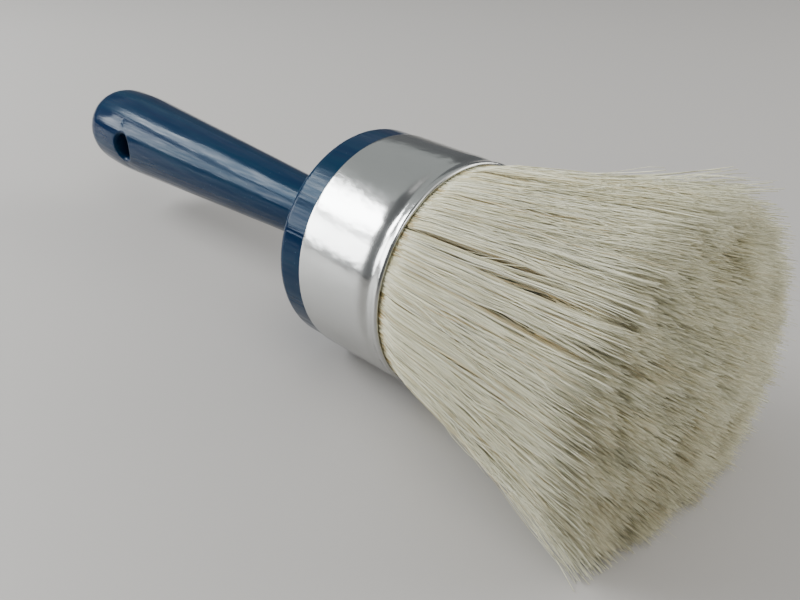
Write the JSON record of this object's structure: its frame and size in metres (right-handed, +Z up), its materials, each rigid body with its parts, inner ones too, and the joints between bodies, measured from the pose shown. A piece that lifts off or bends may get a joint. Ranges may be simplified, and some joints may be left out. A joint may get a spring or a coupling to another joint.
{
  "type": "round bristle brush",
  "caption": "Round natural-bristle brush with a turned, lacquered wooden handle, a rolled steel ferrule and a hanging hole, lying on its side.",
  "frame": {"origin": "on the surface the brush lies on, under the middle of its overall length and width", "axes": "+X along the brush's axis towards the bristle tips, +Z up, Y across; the hanging hole runs along Y"},
  "size_m": [0.206, 0.0648, 0.0574],
  "materials": {
    "blue_lacquer": "gloss slate-blue lacquer over turned hardwood",
    "ferrule_steel": "satin nickel-plated steel",
    "nail_steel": "bright steel",
    "bare_wood": "bare turned wood",
    "resin": "set amber resin",
    "bristle": "cream natural bristle"
  },
  "bodies": {
    "root": {"handle": "blue_lacquer", "ferrule": "ferrule_steel", "ferrule_nails": "nail_steel", "core_plug": "bare_wood", "resin_setting": "resin", "bristle_bundle": "bristle"}
  },
  "joints": []
}
